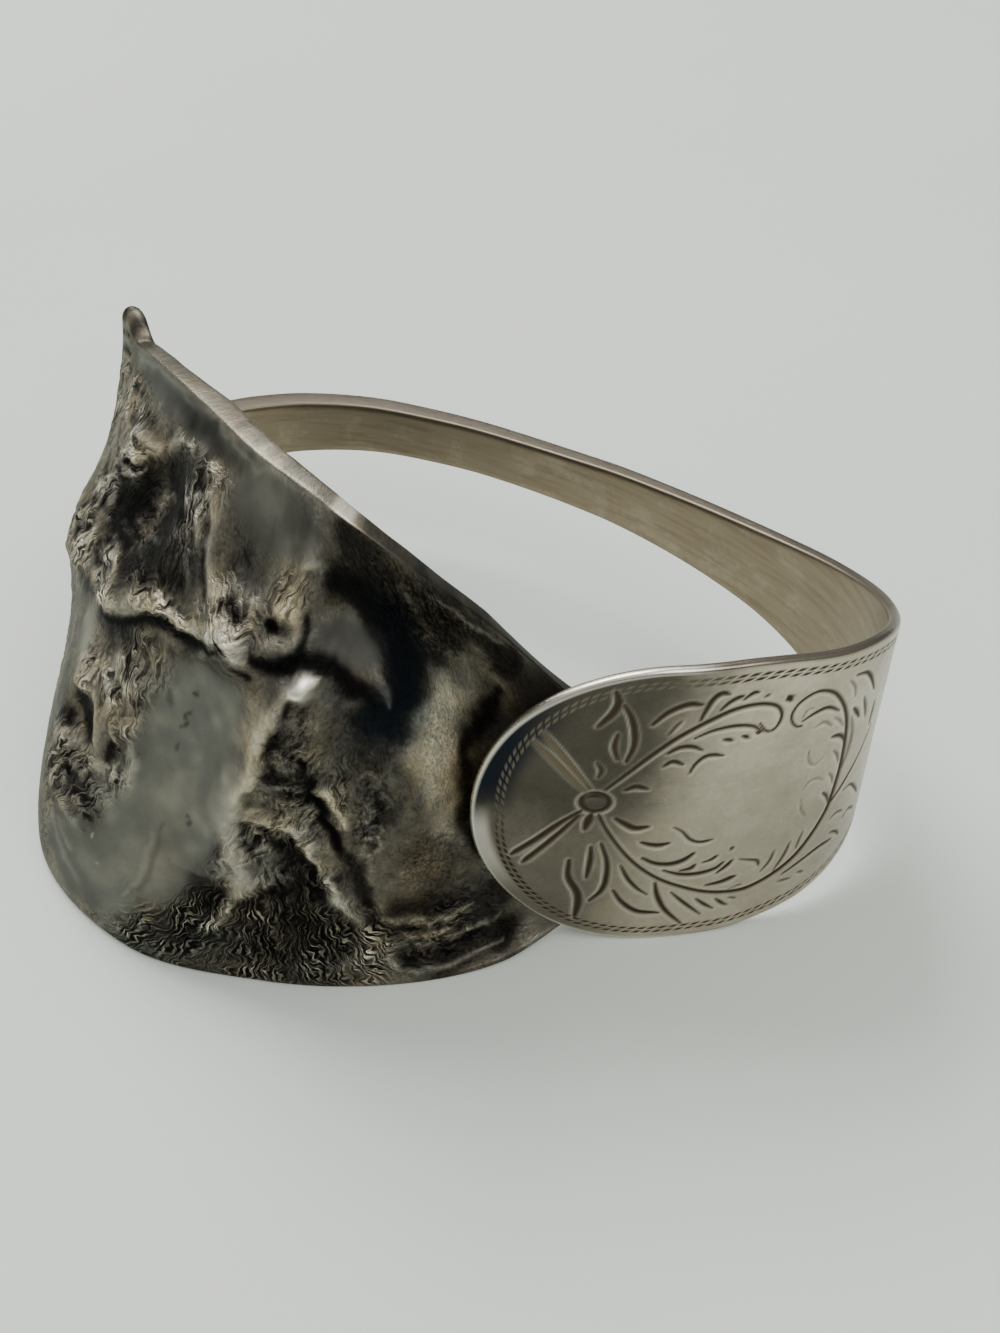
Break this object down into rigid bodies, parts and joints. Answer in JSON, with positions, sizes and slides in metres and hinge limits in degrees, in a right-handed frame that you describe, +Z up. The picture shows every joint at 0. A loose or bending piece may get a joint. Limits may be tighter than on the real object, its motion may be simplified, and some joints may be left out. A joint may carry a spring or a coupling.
{
  "type": "spoon handle bracelet",
  "caption": "Cuff bracelet bent from one serving spoon: engraved handle band with a broad round end, and a melted, wrinkled bowl as a tall shield.",
  "frame": {"origin": "middle of the wrist opening, on the resting plane", "axes": "+Z up along the wrist opening's axis, +X from the melted bowl to the bend of the handle, -Y to the engraved round end"},
  "size_m": [0.0661, 0.0578, 0.0382],
  "materials": {
    "silver": "worn polished silver, warm grey, with fine scratches and dark engraving",
    "oxidised_silver": "melted and wrinkled silver, blackened in the hollows and rubbed bright on the folds"
  },
  "bodies": {
    "root": {"spoon_bracelet": "silver"}
  },
  "joints": []
}
